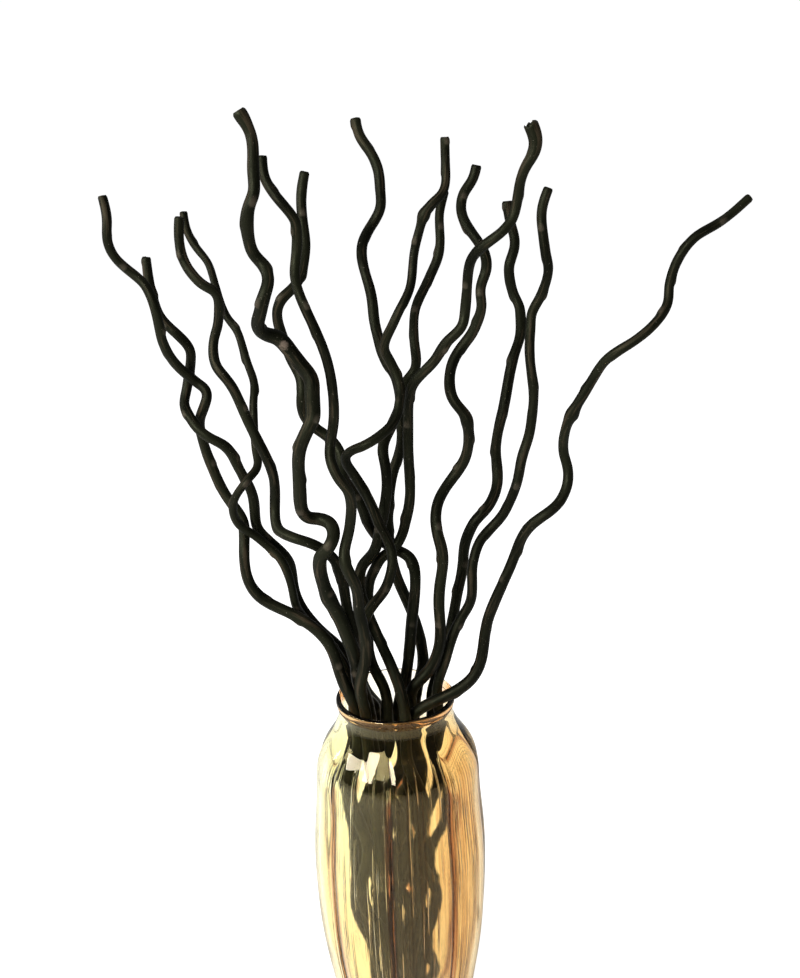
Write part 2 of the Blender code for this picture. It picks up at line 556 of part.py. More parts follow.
def make_vase(name, material, collection):
    """The vase: a turned glass shell pressed into eight upright lobes."""
    mesh = turned_vase(name, LOBE_COUNT * STEPS_PER_LOBE)
    work = bmesh.new()
    work.from_mesh(mesh)
    bmesh.ops.remove_doubles(work, verts=work.verts, dist=0.00001)
    for vert in work.verts:
        angle = math.atan2(vert.co.y, vert.co.x)
        across = abs(math.sin(0.5 * LOBE_COUNT * angle)) ** LOBE_ROUNDNESS
        squeeze = 1 - LOBE_DEPTH * lobe_strength(vert.co.z / MM) * (1 - across)
        vert.co.x *= squeeze
        vert.co.y *= squeeze
    turn = np.exp(1j * LOBE_TURN)
    for vert in work.verts:
        place = complex(vert.co.x, vert.co.y) * turn
        vert.co.x, vert.co.y = place.real, place.imag
    bmesh.ops.recalc_face_normals(work, faces=work.faces)
    work.to_mesh(mesh)
    work.free()
    mesh.materials.clear()
    mesh.materials.append(material)
    mesh.shade_smooth()
    collection.objects.link(bpy.data.objects.new(name, mesh))


def main():
    for item in list(bpy.data.objects):
        bpy.data.objects.remove(item, do_unlink=True)
    collection = bpy.data.collections.new("willow_stems_in_vase")
    bpy.context.scene.collection.children.link(collection)
    glass = colour_material("amber_glass", GLASS_COLOUR, GLASS_ROUGHNESS, GLASS_CLEARNESS)
    make_vase("vase", glass, collection)
    bark = colour_material("dyed_bark", BARK_COLOUR, BARK_ROUGHNESS)
    for name, line in zip(STEMS, ease_apart(first_lines())):
        make_stem(name, line, bark, collection)


main()
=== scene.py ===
"""Curly willow stems in a lobed amber glass vase, dressed for a picture.

Fifteen corkscrew willow branches, dyed black, stand in a blown glass vase.
Each branch follows the middle of its plain solid and gets its own bark, bud
scars and cut ends. The vase is turned again in fine glass, with its creases,
upright streaks and rolled lip. Sizes are metres.
"""

import math

import bmesh
import bpy
import numpy as np
from bpy.props import FloatProperty, FloatVectorProperty, IntProperty, PointerProperty
from mathutils import Matrix, Vector


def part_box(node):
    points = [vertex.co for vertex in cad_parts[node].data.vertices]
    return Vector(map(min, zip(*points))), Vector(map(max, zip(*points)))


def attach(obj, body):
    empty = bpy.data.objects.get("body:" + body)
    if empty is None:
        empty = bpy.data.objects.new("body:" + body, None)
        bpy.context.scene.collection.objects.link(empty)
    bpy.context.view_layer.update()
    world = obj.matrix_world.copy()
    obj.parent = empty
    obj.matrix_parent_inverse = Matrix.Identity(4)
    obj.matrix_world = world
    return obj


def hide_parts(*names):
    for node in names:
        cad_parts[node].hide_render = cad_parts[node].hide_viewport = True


bl_info = {
    "name": "Willow Stems in a Vase",
    "version": (1, 0, 0),
    "blender": (4, 5, 0),
    "location": "3D View > Sidebar > Willow",
    "description": "Curly willow branches in a lobed amber glass vase",
    "category": "Object",
}

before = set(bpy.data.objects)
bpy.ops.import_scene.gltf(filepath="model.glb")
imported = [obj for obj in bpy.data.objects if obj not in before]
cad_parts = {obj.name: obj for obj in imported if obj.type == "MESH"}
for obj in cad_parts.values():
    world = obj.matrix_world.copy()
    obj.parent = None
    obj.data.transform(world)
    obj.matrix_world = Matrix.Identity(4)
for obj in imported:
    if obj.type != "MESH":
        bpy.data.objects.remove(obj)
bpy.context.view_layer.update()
STEM_NAMES = sorted(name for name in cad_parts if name.startswith("stem_"))
VASE_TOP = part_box("vase")[1].z
MM = 0.001

# Corners in one ring of a plain branch
PLAIN_SIDES = 8

# Corners nearer than this are merged, in metres: on a plain branch, and along the vase's seam
SAME_POINT = 1e-6
SEAM = 1e-5

# Vase profile in millimetres, radius and height, from the lip down the outside
OUTSIDE = ((42.8, 292.5), (44.3, 292.2), (45.0, 291.1), (45.1, 289.7), (44.7, 287.9),
           (44.1, 286.9), (44.3, 286.2), (44.1, 285.5), (43.7, 284.5), (43.4, 281.5),
           (43.4, 278.6), (44.1, 275.6), (45.6, 271.8), (48.8, 264.9), (52.8, 258.4),
           (57.3, 250.9), (60.9, 242.3), (62.9, 231.3), (64.5, 212.2), (66.8, 188.1),
           (68.2, 165.0), (68.3, 150.0), (68.0, 133.6), (66.8, 108.0), (64.2, 82.5),
           (60.4, 58.0), (56.2, 34.0), (52.5, 19.0), (47.0, 8.0), (41.8, 2.2),
           (38.5, 0.4), (36.0, 0.0), (18.0, 0.0), (0.0, 0.0))
FLOOR = ((0.0, 9.0), (18.0, 9.0), (34.0, 9.0), (38.5, 10.2), (43.0, 13.4), (48.5, 22.0))
INNER_LIP = ((39.6, 278.0), (39.5, 282.5), (39.9, 286.5), (40.6, 289.9), (41.4, 291.8))
INSIDE_FROM = 30.0
INSIDE_TO = 275.6
WALL = 4.0

# Spacing of the smooth profile in millimetres, and the length and the bend that each add a ring
PROFILE_GRAIN = 0.25
PROFILE_STEP = 3.4
PROFILE_TURN = math.radians(5.0)

# The eye's place and turn, and the picture that it sees, in pixels
EYE = Vector((0.0088, -0.755, 0.683))
EYE_PITCH = math.radians(16.8)
EYE_ROLL = math.radians(1.9)
FOCAL_LENGTH = 1100.0
PICTURE_HEIGHT = 978.0
SENSOR = 36.0

# Where the two lamps begin and end round the vase: degrees from the front and from the level
LAMP_TARGET = Vector((0.0, -0.05, 0.26))
LAMP_DISTANCE = 1.9
WINDOW_START, WINDOW_END = (-50.0, 26.0), (-25.0, 27.5)
SIDE_START, SIDE_END = (-98.0, 12.5), (-53.0, 35.5)

# Broken ends: how far the tip is torn, in metres, and how rough a cut tip is
TORN_TIPS = {"stem_02": 0.0045, "stem_11": 0.0090}
CUT_TIP = 0.0008

# Swollen knots: the branch, its distance from the tip, the swelling, its reach,
# and how much rubbed-off dye with a painted highlight shows there
KNOTS = (("stem_05", 0.165, 0.0007, 0.008, 1.0), ("stem_05", 0.389, 0.0008, 0.007, 0.6),
         ("stem_05", 0.067, 0.0006, 0.009, 0.3), ("stem_05", 0.003, 0.0010, 0.006, 0.0),
         ("stem_05", 0.143, 0.0005, 0.022, 0.0), ("stem_05", 0.197, 0.0009, 0.034, 0.0),
         ("stem_09", 0.055, 0.0012, 0.004, 0.0), ("stem_11", 0.004, 0.0014, 0.016, 0.0),
         ("stem_04", 0.300, 0.0008, 0.006, 0.2), ("stem_12", 0.200, 0.0008, 0.006, 0.2),
         ("stem_10", 0.248, 0.0009, 0.004, 0.0), ("stem_15", 0.190, 0.0010, 0.006, 0.2))

# Rubbed bark with a painted highlight: how far it reaches from the knot, the side it shows on,
# facing the front and upper left, and where it fades
SCUFF_AND_HIGHLIGHT_REACH = 0.0042
HIGHLIGHT_SIDE = (-0.35, -0.85, 0.4)
HIGHLIGHT_FADE = (0.45, 0.9)

# Random patterns of two branches lie this far apart in the noise
SEED_STEP, SEED_START = 7.3, 1.0

# Noise in a branch's shape: along it for the lumps, round and along it for the wrinkles
LUMP_GRAIN = 38.0
RIDGE_ROUND, RIDGE_ALONG = 1.5, 42.0

# Thickness of a cut end, as a share
CUT_GIRTH = 0.84

# Tears of a tip: their noise round the branch, its middle value and their reach in metres
TEAR_ROUND, TEAR_LEVEL, TEAR_REACH = 2.6, 0.45, 0.005

# Angle between two bud scars, and how much of it and of their spacing is left to chance
BUD_TURN, BUD_TURN_CHANCE, BUD_PLACE_CHANCE = 2.4, 1.2, 0.5

# A bud scar ends more sharply on one side, by this share, and fades round the branch
BUD_LEAN = 0.45
BUD_FADE = (0.55, 1.0)

# Edges that bend less than this stay smooth
SMOOTH_ANGLE = 0.9

# Share of the lobes' depth that is left at the foot
FOOT_PRESS = 0.25

# The level of a lobe that its bulge at the shoulder leaves in place
SHOULDER_LEVEL = 0.6

# The painted shade along a groove reaches this many times the groove's width
CREASE_SHADE_REACH = 2.4

# Noise in the bark: round the branch and along it, or the same every way
FIBRES = (5.0, 5.0, 240.0)
STREAKS = (1.6, 1.6, 32.0)
PATCHES = (22.0, 22.0, 22.0)
SPECKS = (900.0, 900.0, 900.0)
CHIPS = (420.0, 420.0, 420.0)
BARK_RELIEF = 0.0004

# Noise in the glass: round the vase and up it. The clouds shift the edge of a colour
CLOUDS = (3.0, 3.0, 3.0)
CLOUD_SHIFT = 0.05
GLASS_STREAKS = (38.0, 38.0, 5.0)
FINE_STREAKS = (85.0, 85.0, 7.0)
THREADS = (44.0, 44.0, 10.0)
THREAD_RELIEF = 0.00035

# Where the glass changes: from left to right, from front to back, and by height
# Left to right: the glass's own tint, with painted window light making the left side paler
LIT_AND_AMBER_SIDE = (-0.03, 0.045)
# Front to back: the back of the neck is painted nearly clear, a painted backlight
GLASS_BACK = (0.004, 0.030)
AMBER_BELOW = (0.20, 0.10)
STREAKS_BELOW = (0.272, 0.240)
BACKLIT_ABOVE = (0.235, 0.262)
LIP_ABOVE = (VASE_TOP - 0.0095, VASE_TOP - 0.006)
THREADS_BELOW = (0.262, 0.235)

# Where the light changes with direction: from the room to the wall behind, the same
# through the glass, and up to the ceiling
WALL_FADE = (-0.10, 0.20)
GLASS_FADE = (-0.15, 0.25)
CEILING_FADE = (0.35, 0.90)


class Wire:
    """One output of a node, which sums and products can use."""

    def __init__(self, graph, socket):
        self.graph = graph
        self.socket = socket

    def out(self, name):
        """Another output of the same node."""
        return Wire(self.graph, self.socket.node.outputs[name])

    def math(self, operation, *others):
        """The result of one Math node that starts with this value."""
        values = {number: value for number, value in enumerate((self, *others))}
        return self.graph.node("ShaderNodeMath", {"operation": operation}, values)

    def swapped(self, operation, other):
        """The same with this value second."""
        return self.graph.node("ShaderNodeMath", {"operation": operation}, {0: other, 1: self})

    def __add__(self, other):
        return self.math("ADD", other)

    def __sub__(self, other):
        return self.math("SUBTRACT", other)

    def __mul__(self, other):
        return self.math("MULTIPLY", other)

    def __truediv__(self, other):
        return self.math("DIVIDE", other)

    def __pow__(self, other):
        return self.math("POWER", other)

    def __radd__(self, other):
        return self.swapped("ADD", other)

    def __rsub__(self, other):
        return self.swapped("SUBTRACT", other)

    def __rmul__(self, other):
        return self.swapped("MULTIPLY", other)

    def __rtruediv__(self, other):
        return self.swapped("DIVIDE", other)

    def times(self, vector):
        """A vector multiplied part by part."""
        return self.graph.node("ShaderNodeVectorMath", {"operation": "MULTIPLY"},
                               {0: self, 1: vector})

    def part(self, name):
        """One part of a vector: X, Y or Z."""
        return self.graph.node("ShaderNodeSeparateXYZ", {}, {0: self}).out(name)


class Graph:
    """A node tree that is built one call at a time."""

    def __init__(self, tree):
        self.tree = tree

    def node(self, kind, settings=None, sockets=None):
        """Adds a node, sets it, then fills its sockets with values or wires."""
        made = self.tree.nodes.new(kind)
        for name, value in (settings or {}).items():
            setattr(made, name, value)
        for key, value in (sockets or {}).items():
            socket = made.inputs[key] if isinstance(key, int) else next(
                item for item in made.inputs if item.name == key and item.enabled)
            if isinstance(value, Wire):
                self.tree.links.new(value.socket, socket)
            else:
                socket.default_value = value
        shown = [item for item in made.outputs if item.enabled]
        return Wire(self, shown[0]) if shown else None

    def noise(self, vector, detail=2.0, roughness=0.5):
        """Soft noise from about 0 to 1."""
        return self.node("ShaderNodeTexNoise", {}, {
            "Vector": vector, "Scale": 1.0, "Detail": detail, "Roughness": roughness})

    def fade(self, value, low, high, start=0.0, end=1.0):
        """A smooth step of a value."""
        return self.node("ShaderNodeMapRange", {"interpolation_type": "SMOOTHSTEP"}, {
            "Value": value, "From Min": low, "From Max": high, "To Min": start, "To Max": end})

    def mix(self, share, first, second):
        """Two colours mixed."""
        return self.node("ShaderNodeMix", {"data_type": "RGBA", "blend_type": "MIX"}, {
            "Factor": share, "A": first, "B": second})

    def vector(self, x, y, z):
        return self.node("ShaderNodeCombineXYZ", {}, {"X": x, "Y": y, "Z": z})


def rgba(colour):
    return (*colour, 1.0)


class ShapeGraph(Graph):
    """A geometry tree with named inputs."""

    def __init__(self, name, inputs):
        super().__init__(bpy.data.node_groups.new(name, "GeometryNodeTree"))
        face = self.tree.interface
        face.new_socket("Geometry", in_out="INPUT", socket_type="NodeSocketGeometry")
        face.new_socket("Geometry", in_out="OUTPUT", socket_type="NodeSocketGeometry")
        for label, kind in inputs:
            face.new_socket(label, in_out="INPUT", socket_type="NodeSocket" + kind)
        self.start = self.tree.nodes.new("NodeGroupInput")

    def given(self, name):
        """One of the tree's own inputs."""
        return Wire(self, self.start.outputs[name])

    def store(self, geometry, name, value, kind="FLOAT"):
        return self.node("GeometryNodeStoreNamedAttribute",
                         {"data_type": kind, "domain": "POINT"},
                         {"Geometry": geometry, "Name": name, "Value": value})

    def named(self, name, kind="FLOAT"):
        return self.node("GeometryNodeInputNamedAttribute", {"data_type": kind}, {"Name": name})

    def sampled(self, value, index, kind):
        """A value read from one point of the given geometry."""
        return self.node("GeometryNodeSampleIndex", {"data_type": kind, "clamp": True}, {
            "Geometry": self.given("Geometry"), "Value": value, "Index": index})

    def close(self, geometry):
        """Realises instances, sets the material and ends the tree."""
        whole = self.node("GeometryNodeRealizeInstances", {}, {"Geometry": geometry})
        done = self.node("GeometryNodeSetMaterial", {}, {
            "Geometry": whole, "Material": self.given("Material")})
        self.tree.links.new(done.socket, self.tree.nodes.new("NodeGroupOutput").inputs[0])
        return self.tree


def shaped(name, mesh, tree, values):
    """A plain mesh object made from a mesh by a geometry tree."""
    source = bpy.data.objects.new(name + "_source", mesh)
    bpy.context.scene.collection.objects.link(source)
    modifier = source.modifiers.new("Shape", "NODES")
    modifier.node_group = tree
    sockets = {item.name: item.identifier for item in tree.interface.items_tree
               if item.in_out == "INPUT"}
    for label, value in values.items():
        modifier[sockets[label]] = value
    graph = bpy.context.evaluated_depsgraph_get()
    result = bpy.data.meshes.new_from_object(source.evaluated_get(graph))
    bpy.data.objects.remove(source)
    result.name = name
    piece = bpy.data.objects.new(name, result)
    bpy.context.scene.collection.objects.link(piece)
    return piece


def ring_middles(node):
    """Middles and radii of a plain branch's rings, from its tip to its foot."""
    work = bmesh.new()
    work.from_mesh(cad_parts[node].data)
    bmesh.ops.remove_doubles(work, verts=work.verts, dist=SAME_POINT)
    ring = sorted(work.verts, key=lambda vert: vert.co.z)[:PLAIN_SIDES]
    seen, middles, radii = set(), [], []
    while ring:
        seen.update(ring)
        middle = sum((vert.co for vert in ring), Vector()) / len(ring)
        middles.append(middle)
        radii.append(sum((vert.co - middle).length for vert in ring) / len(ring))
        ring = {edge.other_vert(vert) for vert in ring for edge in vert.link_edges} - seen
        if ring and len(ring) != PLAIN_SIDES:
            raise RuntimeError(f"{node} has a ring of {len(ring)} corners")
        ring = list(ring)
    work.free()
    return np.array(middles)[::-1], np.array(radii)[::-1]


def smooth_line(points, spacing):
    """Even points on a smooth curve through the given ones, and their shares."""
    steps = np.linalg.norm(np.diff(points, axis=0), axis=1)
    knots = np.concatenate([[0.0], np.cumsum(steps)])
    count = len(points)
    table = np.zeros((count, count))
    wanted = np.zeros((count, 3))
    table[0, 0] = table[-1, -1] = 1.0
    for i in range(1, count - 1):
        before, after = steps[i - 1], steps[i]
        table[i, i - 1:i + 2] = before, 2 * (before + after), after
        wanted[i] = 6 * ((points[i + 1] - points[i]) / after - (points[i] - points[i - 1]) / before)
    bend = np.linalg.solve(table, wanted)
    place = np.linspace(0.0, knots[-1], int(knots[-1] / spacing) + 2)
    i = np.clip(np.searchsorted(knots, place) - 1, 0, count - 2)
    width = steps[i][:, None]
    left = (place - knots[i])[:, None]
    right = width - left
    line = ((bend[i] * right ** 3 + bend[i + 1] * left ** 3) / (6 * width)
            + (points[i] / width - bend[i] * width / 6) * right
            + (points[i + 1] / width - bend[i + 1] * width / 6) * left)
    return line, np.interp(place, knots, np.arange(count))


def stem_tree():
    """Bark tube along a line, with ridges, bud scars, swellings and cut ends."""
    graph = ShapeGraph("Willow stem", [
        ("Ring Step", "Float"), ("Sides", "Int"), ("Edge Wear", "Float"), ("Lumps", "Float"),
        ("Ridges", "Float"), ("Bud Spacing", "Float"), ("Bud Height", "Float"),
        ("Bud Length", "Float"), ("Torn Tip", "Float"), ("Seed", "Float"),
        ("Material", "Material")])
    line = graph.node("GeometryNodeMeshToCurve", {}, {"Mesh": graph.given("Geometry")})
    line = graph.node("GeometryNodeResampleCurve", {"mode": "LENGTH"}, {
        "Curve": line, "Length": graph.given("Ring Step")})
    length = graph.node("GeometryNodeSplineParameter").out("Length")
    line = graph.store(line, "along", length)
    line = graph.store(line, "run", graph.node("GeometryNodeInputTangent"), "FLOAT_VECTOR")
    along = graph.named("along")
    seed = graph.given("Seed")
    slow = graph.noise(graph.vector(along * LUMP_GRAIN, seed, 0.0), 1.0) - 0.5
    worn = graph.fade(along, 0.0, graph.given("Edge Wear"), CUT_GIRTH, 1.0)
    girth = graph.named("girth") * (1.0 + slow * graph.given("Lumps")) * worn
    ring = graph.node("GeometryNodeCurvePrimitiveCircle", {}, {
        "Resolution": graph.given("Sides"), "Radius": 1.0})
    ring = graph.store(ring, "rim", graph.node("GeometryNodeInputPosition"), "FLOAT_VECTOR")
    tube = graph.node("GeometryNodeCurveToMesh", {}, {
        "Curve": line, "Profile Curve": ring, "Scale": girth, "Fill Caps": True})

    rim = graph.named("rim", "FLOAT_VECTOR")
    ridge_place = graph.vector(rim.part("X") * RIDGE_ROUND + seed,
                               rim.part("Y") * RIDGE_ROUND, along * RIDGE_ALONG)
    ridges = (graph.noise(ridge_place, 3.0, 0.6) - 0.5) * graph.given("Ridges")

    spacing = graph.given("Bud Spacing")
    number = (along / spacing).math("ROUND")
    chance = graph.node("ShaderNodeTexWhiteNoise", {"noise_dimensions": "2D"}, {
        "Vector": graph.vector(number, seed, 0.0)})
    centre = (number + (chance - 0.5) * BUD_PLACE_CHANCE) * spacing
    turn = number * BUD_TURN + chance * BUD_TURN_CHANCE
    facing = rim.part("X") * turn.math("COSINE") + rim.part("Y") * turn.math("SINE")
    off = (along - centre) / graph.given("Bud Length")
    off = off * (1.0 + BUD_LEAN * off.math("SIGN"))
    bump = (0.0 - off * off).math("EXPONENT") * graph.fade(facing, *BUD_FADE)
    bump = bump * graph.fade(chance, 0.25, 0.6, 0.35, 1.0)
    tube = graph.store(tube, "scar", bump)
    tube = graph.store(tube, "grain", graph.vector(rim.part("X"), rim.part("Y"), along),
                       "FLOAT_VECTOR")
    # The scuffs show only on the side facing the front and upper left: a painted highlight over
    # rubbed dye
    front = graph.node("ShaderNodeVectorMath", {"operation": "DOT_PRODUCT"}, {
        0: graph.node("GeometryNodeInputNormal"), 1: HIGHLIGHT_SIDE})
    tube = graph.store(tube, "scuff_and_highlight", graph.named("rubbed") * graph.fade(front, *HIGHLIGHT_FADE))
    tear_place = graph.vector(rim.part("X") * TEAR_ROUND, rim.part("Y") * TEAR_ROUND, seed)
    tear = (graph.noise(tear_place, 2.0, 0.7) - TEAR_LEVEL) * graph.given("Torn Tip")
    tear = tear * graph.fade(along, 0.0, TEAR_REACH, 1.0, 0.0)
    swell = graph.named("scar") * graph.given("Bud Height") + ridges
    out = graph.node("ShaderNodeVectorMath", {"operation": "SCALE"}, {
        "Vector": graph.node("GeometryNodeInputNormal"), "Scale": swell})
    back = graph.node("ShaderNodeVectorMath", {"operation": "SCALE"}, {
        "Vector": graph.named("run", "FLOAT_VECTOR"), "Scale": tear})
    moved = graph.node("ShaderNodeVectorMath", {"operation": "ADD"}, {0: out, 1: back})
    tube = graph.node("GeometryNodeSetPosition", {}, {"Geometry": tube, "Offset": moved})
    angle = graph.node("GeometryNodeInputMeshEdgeAngle")
    soft = graph.node("FunctionNodeCompare", {"operation": "LESS_THAN"}, {
        "A": angle, "B": SMOOTH_ANGLE})
    tube = graph.node("GeometryNodeSetShadeSmooth", {"domain": "EDGE"}, {
        "Geometry": tube, "Shade Smooth": soft})
    return graph.close(tube)


def bark_material(colours):
    """Dyed bark: near black, with lengthwise fibres, brown streaks, pale specks and rubbed patches
    that carry a painted highlight.
    """
    material = bpy.data.materials.new("dyed_bark")
    material.use_nodes = True
    graph = Graph(material.node_tree)
    shader = material.node_tree.nodes["Principled BSDF"]
    grain = graph.node("ShaderNodeAttribute", {"attribute_name": "grain"}).out("Vector")
    scar = graph.node("ShaderNodeAttribute", {"attribute_name": "scar"}).out("Fac")
    scuff_and_highlight = graph.node("ShaderNodeAttribute", {"attribute_name": "scuff_and_highlight"}).out("Fac")
    place = graph.node("ShaderNodeTexCoord").out("Object")
    fibre = graph.noise(grain.times(FIBRES), 4.0, 0.65)
    streak = graph.noise(grain.times(STREAKS), 3.0, 0.6)
    patch = graph.noise(place.times(PATCHES), 2.0, 0.5)
    speck = graph.noise(place.times(SPECKS), 1.0, 0.5)
    colour = graph.mix(graph.fade(patch, 0.35, 0.65), rgba(colours.bark), rgba(colours.olive))
    colour = graph.mix(graph.fade(streak, 0.52, 0.72), colour, rgba(colours.streak))
    colour = graph.mix(graph.fade(fibre, 0.55, 0.80, 0.0, 0.45), colour, rgba(colours.streak))
    colour = graph.mix(graph.fade(scar, 0.3, 1.0, 0.0, 0.6), colour, rgba(colours.scar))
    colour = graph.mix(graph.fade(speck, 0.74, 0.80, 0.0, 0.5), colour, rgba(colours.speck))
    # Pale rubbed patches: partly worn dye, partly a painted highlight on the lit side
    chip = graph.noise(place.times(CHIPS), 2.0, 0.6)
    worn = graph.fade(scuff_and_highlight + (chip - 0.5) * 1.2, 0.30, 0.95)
    colour = graph.mix(worn * graph.fade(scuff_and_highlight, 0.0, 0.3), colour, rgba(colours.scuff_and_highlight))
    rough = graph.fade(fibre + streak * 0.5, 0.4, 1.0, 0.34, 0.60)
    height = fibre * 0.6 + streak * 0.6 + speck * 0.15
    bump = graph.node("ShaderNodeBump", {}, {
        "Strength": 0.35, "Distance": BARK_RELIEF, "Height": height})
    for socket, wire in (("Base Color", colour), ("Roughness", rough), ("Normal", bump)):
        graph.tree.links.new(wire.socket, shader.inputs[socket])
    shader.inputs["Specular IOR Level"].default_value = 0.12
    shader.inputs["Specular Tint"].default_value = rgba((0.80, 0.84, 0.52))
    return material


class WillowStemSettings(bpy.types.PropertyGroup):
    """Sizes and colours of the branches."""
    sides: IntProperty(name="Sides", description="Faces round a branch", default=20, min=8)
    ring_step: FloatProperty(name="Ring step", description="Length of one face along a branch",
                             default=0.0012, unit="LENGTH")
    fullness: FloatProperty(name="Fullness", description="Thickness against the plain branch",
                            default=1.03, subtype="FACTOR", soft_max=1.1)
    edge_wear: FloatProperty(name="Edge wear", description="Rounded edge of a cut end",
                             default=0.001, unit="LENGTH")
    lumps: FloatProperty(name="Lumps", description="Slow change of thickness, as a share",
                         default=0.22, subtype="FACTOR")
    ridges: FloatProperty(name="Ridges", description="Depth of the lengthwise wrinkles",
                          default=0.0005, unit="LENGTH", precision=5)
    bud_spacing: FloatProperty(name="Bud spacing", description="Distance between bud scars",
                               default=0.024, unit="LENGTH")
    bud_height: FloatProperty(name="Bud height", description="How far a bud scar stands out",
                              default=0.0008, unit="LENGTH", precision=5)
    bud_length: FloatProperty(name="Bud length", description="Reach of a bud scar",
                              default=0.0028, unit="LENGTH", precision=5)
    bark: FloatVectorProperty(name="Bark", description="Dyed bark", subtype="COLOR",
                              default=(0.0010, 0.0011, 0.0006))
    streak: FloatVectorProperty(name="Streaks", description="Brown-grey streaks in the bark",
                                subtype="COLOR", default=(0.024, 0.0175, 0.0105))
    olive: FloatVectorProperty(name="Olive cast", description="Greener patches of the bark",
                               subtype="COLOR", default=(0.0050, 0.0054, 0.0028))
    scar: FloatVectorProperty(name="Scars", description="Bud scars", subtype="COLOR",
                              default=(0.045, 0.036, 0.026))
    # Colour of the rubbed patches, which also carry a painted highlight
    scuff_and_highlight: FloatVectorProperty(name="Scuffs", description="Places where the dye is rubbed off",
                               subtype="COLOR", default=(0.080, 0.060, 0.046))
    speck: FloatVectorProperty(name="Specks", description="Small pale specks",
                               subtype="COLOR", default=(0.16, 0.14, 0.11))


class WILLOW_OT_stems(bpy.types.Operator):
    """Grows the bark of every branch along the middle of its plain solid"""
    bl_idname = "willow.stems"
    bl_label = "Willow Stems"

    def execute(self, context):
        settings = context.scene.willow_stems
        tree = stem_tree()
        bark = bark_material(settings)
        for number, name in enumerate(STEM_NAMES):
            points, radii = ring_middles(name)
            line, share = smooth_line(points, settings.ring_step)
            girth = settings.fullness * np.interp(share, np.arange(len(radii)), radii)
            along = np.concatenate([[0], np.cumsum(np.linalg.norm(np.diff(line, axis=0), axis=1))])
            # The rubbed mask carries worn dye and a painted highlight
            rubbed = np.zeros(len(line))
            for knotted, place, swelling, reach, bare_and_lit in KNOTS:
                if knotted == name:
                    girth = girth + swelling * np.exp(-((along - place) / reach) ** 2)
                    rubbed = rubbed + bare_and_lit * np.exp(-((along - place) / SCUFF_AND_HIGHLIGHT_REACH) ** 2)
            mesh = bpy.data.meshes.new(name)
            mesh.from_pydata(line.tolist(), [(i, i + 1) for i in range(len(line) - 1)], [])
            mesh.attributes.new("girth", "FLOAT", "POINT").data.foreach_set("value", girth)
            mesh.attributes.new("rubbed", "FLOAT", "POINT").data.foreach_set("value", rubbed)
            piece = shaped("bark_" + name[-2:], mesh, tree, {
                "Ring Step": settings.ring_step, "Sides": settings.sides,
                "Edge Wear": settings.edge_wear, "Lumps": settings.lumps,
                "Ridges": settings.ridges, "Bud Spacing": settings.bud_spacing,
                "Bud Height": settings.bud_height, "Bud Length": settings.bud_length,
                "Torn Tip": TORN_TIPS.get(name, CUT_TIP),
                "Seed": SEED_STEP * number + SEED_START, "Material": bark})
            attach(piece, "root")
            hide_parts(name)
        return {"FINISHED"}


def vase_profile():
    """The vase's outline from its floor over the lip to the foot, and which part is outside."""
    wall = [(radius - WALL, height) for radius, height in reversed(OUTSIDE)
            if INSIDE_FROM <= height < INSIDE_TO]
    inside = (*FLOOR, *wall, *INNER_LIP)
    outline = [(radius, 0.0, height) for radius, height in (*inside, *OUTSIDE)]
    line, knot = smooth_line(np.array(outline), PROFILE_GRAIN)
    outer = np.clip(knot - len(inside) + 1, 0.0, 1.0)
    heading = np.diff(line, axis=0)
    length = np.linalg.norm(heading, axis=1)
    heading /= length[:, None]
    turn = np.arccos(np.clip((heading[1:] * heading[:-1]).sum(axis=1), -1.0, 1.0))
    measure = np.cumsum(length) / PROFILE_STEP
    measure[1:] += np.cumsum(turn) / PROFILE_TURN
    measure = np.concatenate([[0.0], measure])
    marks = np.linspace(0.0, measure[-1], int(measure[-1]))
    line[:, 0] = np.maximum(line[:, 0], 0.0)
    places = np.stack([np.interp(marks, measure, line[:, i]) for i in range(3)], 1) * MM
    return places.tolist(), np.interp(marks, measure, outer)


